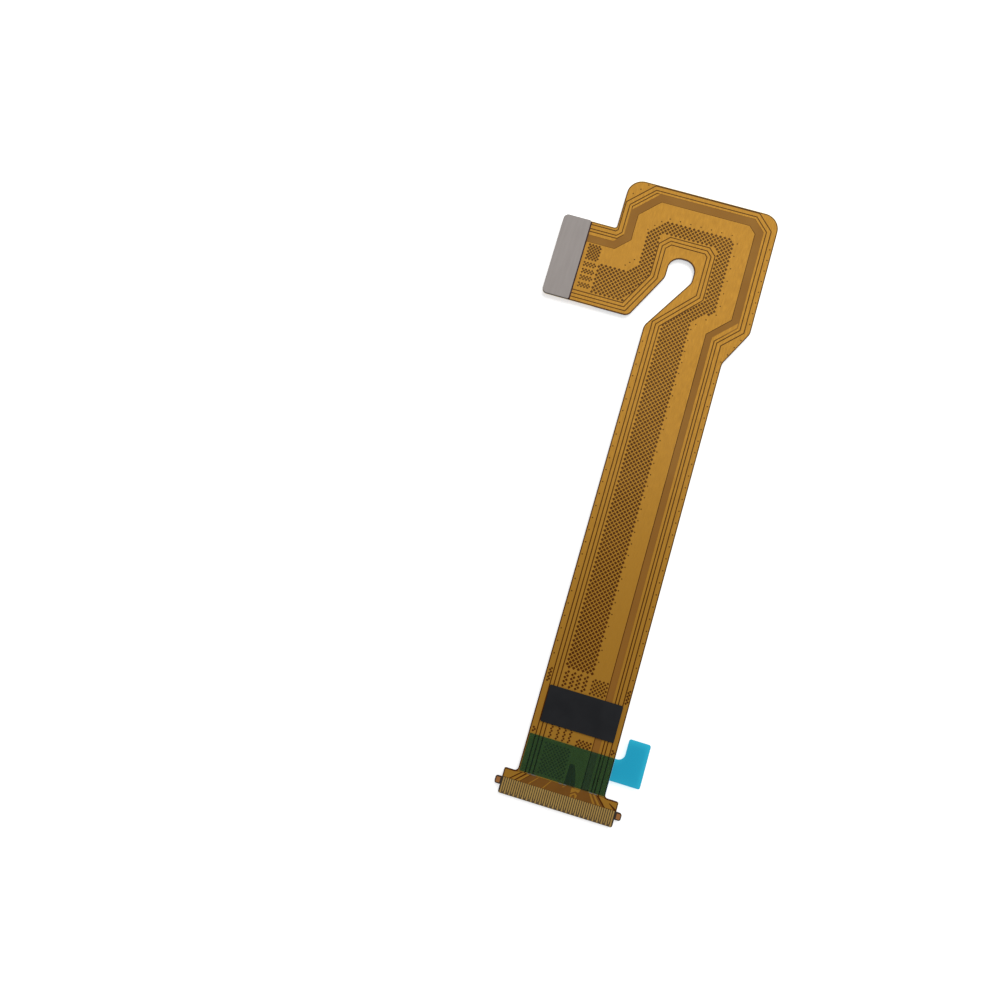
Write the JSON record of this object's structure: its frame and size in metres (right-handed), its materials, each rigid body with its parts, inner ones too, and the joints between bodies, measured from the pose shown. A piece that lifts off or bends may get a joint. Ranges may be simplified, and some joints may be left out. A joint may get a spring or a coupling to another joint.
{
  "type": "flexible printed circuit cable",
  "caption": "Flat flexible circuit cable with a hooked head and side tab, a small board connector under the tab, a bare contact tail, a stiffener plate, an insulating pad and a release liner.",
  "frame": {"origin": "under the middle of the whole cable, on the surface that the board connector stands on", "axes": "+Y along the strip from the contact tail to the hooked head, +X away from the side tab, +Z out of the amber face"},
  "size_m": [0.0312, 0.0874, 0.0011],
  "materials": {
    "base_film": "amber polyimide film",
    "amber_cover": "clear amber polyimide film",
    "shield": "satin black shield film",
    "end_cover": "dark red-brown film",
    "tail_stiffener": "dark amber stiffener board",
    "stiffener_plate": "plain satin stainless steel",
    "insulator": "matt black insulating sheet",
    "adhesive": "thin double-sided tape",
    "liner": "clear blue release film",
    "copper": "rolled copper foil",
    "contact_gold": "gold-plated",
    "connector_housing": "moulded dark plastic",
    "end_fitting": "gold-plated metal"
  },
  "bodies": {
    "root": {"base_film": "base_film", "upper_cover_film": "amber_cover", "lower_cover_film": "amber_cover", "shield_film": "shield", "end_cover_film": "end_cover", "tail_stiffener": "tail_stiffener", "connector_stiffener": "stiffener_plate", "insulating_pad": "insulator", "adhesive_tape": "adhesive", "release_liner": "liner", "outer_trace_narrow": "copper", "outer_trace_wide": "copper", "outer_edge_ground": "copper", "inner_trace_first": "copper", "inner_trace_second": "copper", "inner_edge_ground": "copper", "ground_plane": "copper", "band_borders": "copper", "fan_traces": "copper", "tail_contacts": "contact_gold", "ear_pads": "copper", "signal_pair_1": "copper", "signal_pair_2": "copper", "signal_pair_3": "copper", "signal_pair_4": "copper", "signal_pair_5": "copper", "ground_bar_1": "copper", "ground_bar_2": "copper", "ground_bar_3": "copper", "ground_bar_4": "copper", "ground_bar_5": "copper", "supply_trace": "copper", "lower_outer_ground": "copper", "lower_inner_ground": "copper", "solder_pads": "contact_gold", "connector_housing": "connector_housing", "lead_row_inner": "contact_gold", "lead_row_outer": "contact_gold", "end_fitting_top": "end_fitting", "end_fitting_low": "end_fitting"}
  },
  "joints": []
}
